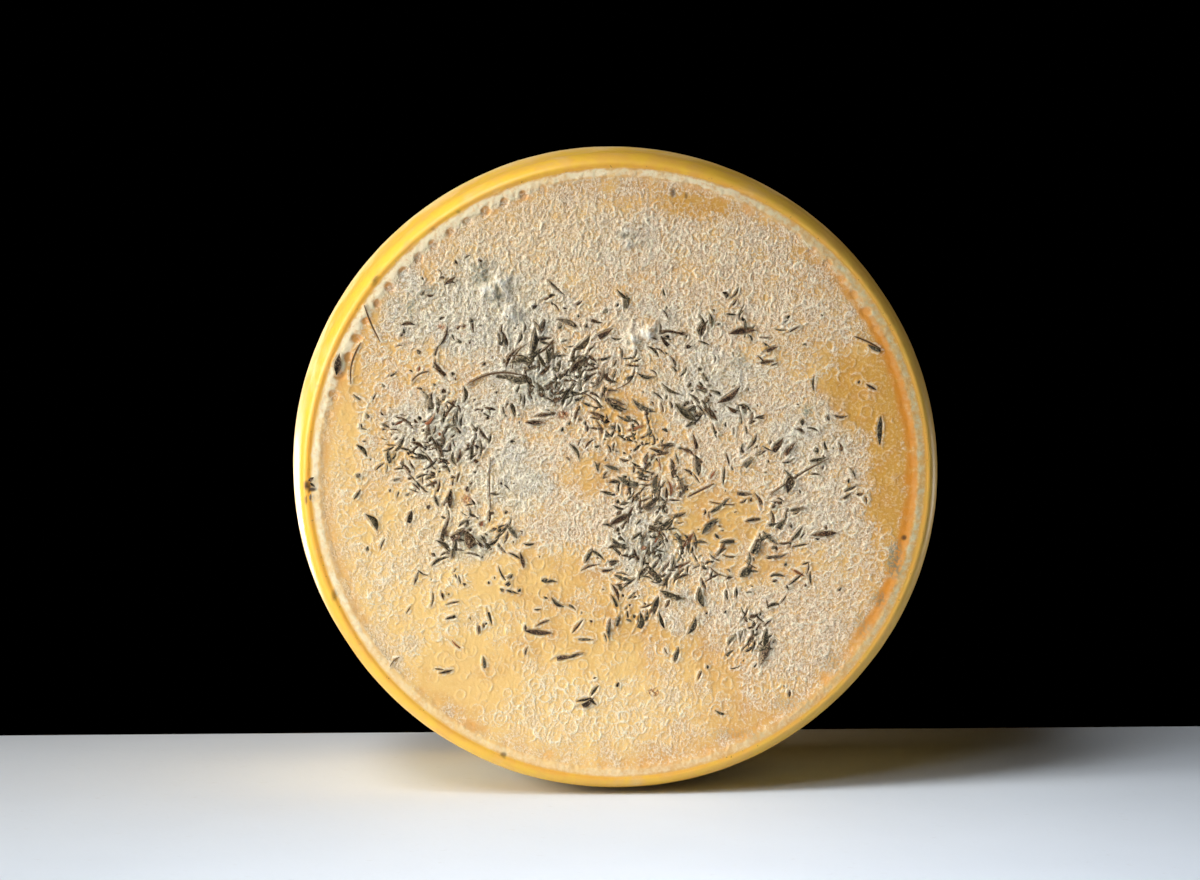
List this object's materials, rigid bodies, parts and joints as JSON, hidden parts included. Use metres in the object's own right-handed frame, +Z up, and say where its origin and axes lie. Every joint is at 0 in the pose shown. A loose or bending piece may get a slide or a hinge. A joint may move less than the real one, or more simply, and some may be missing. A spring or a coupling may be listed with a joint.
{
  "type": "myrtle pecorino cheese wheel",
  "caption": "Round wheel of aged sheep's cheese standing on its edge, with a smooth yellow rim, an uneven pitted face and chopped dark myrtle leaves pressed into it",
  "frame": {"origin": "on the surface the wheel stands on, under the middle of its box", "axes": "+Z up; the wheel's axis lies along Y and the shown face looks towards -Y; +X runs to the right across that face"},
  "size_m": [0.2006, 0.0858, 0.198],
  "materials": {
    "rind": "waxy golden cheese rind with pale bloom, dry on the faces and smoother round the rim",
    "myrtle_leaf": "dry chopped myrtle leaves, dark green to brown, slightly glossy on top"
  },
  "bodies": {
    "root": {"pecorino_wheel": "rind"}
  },
  "joints": []
}
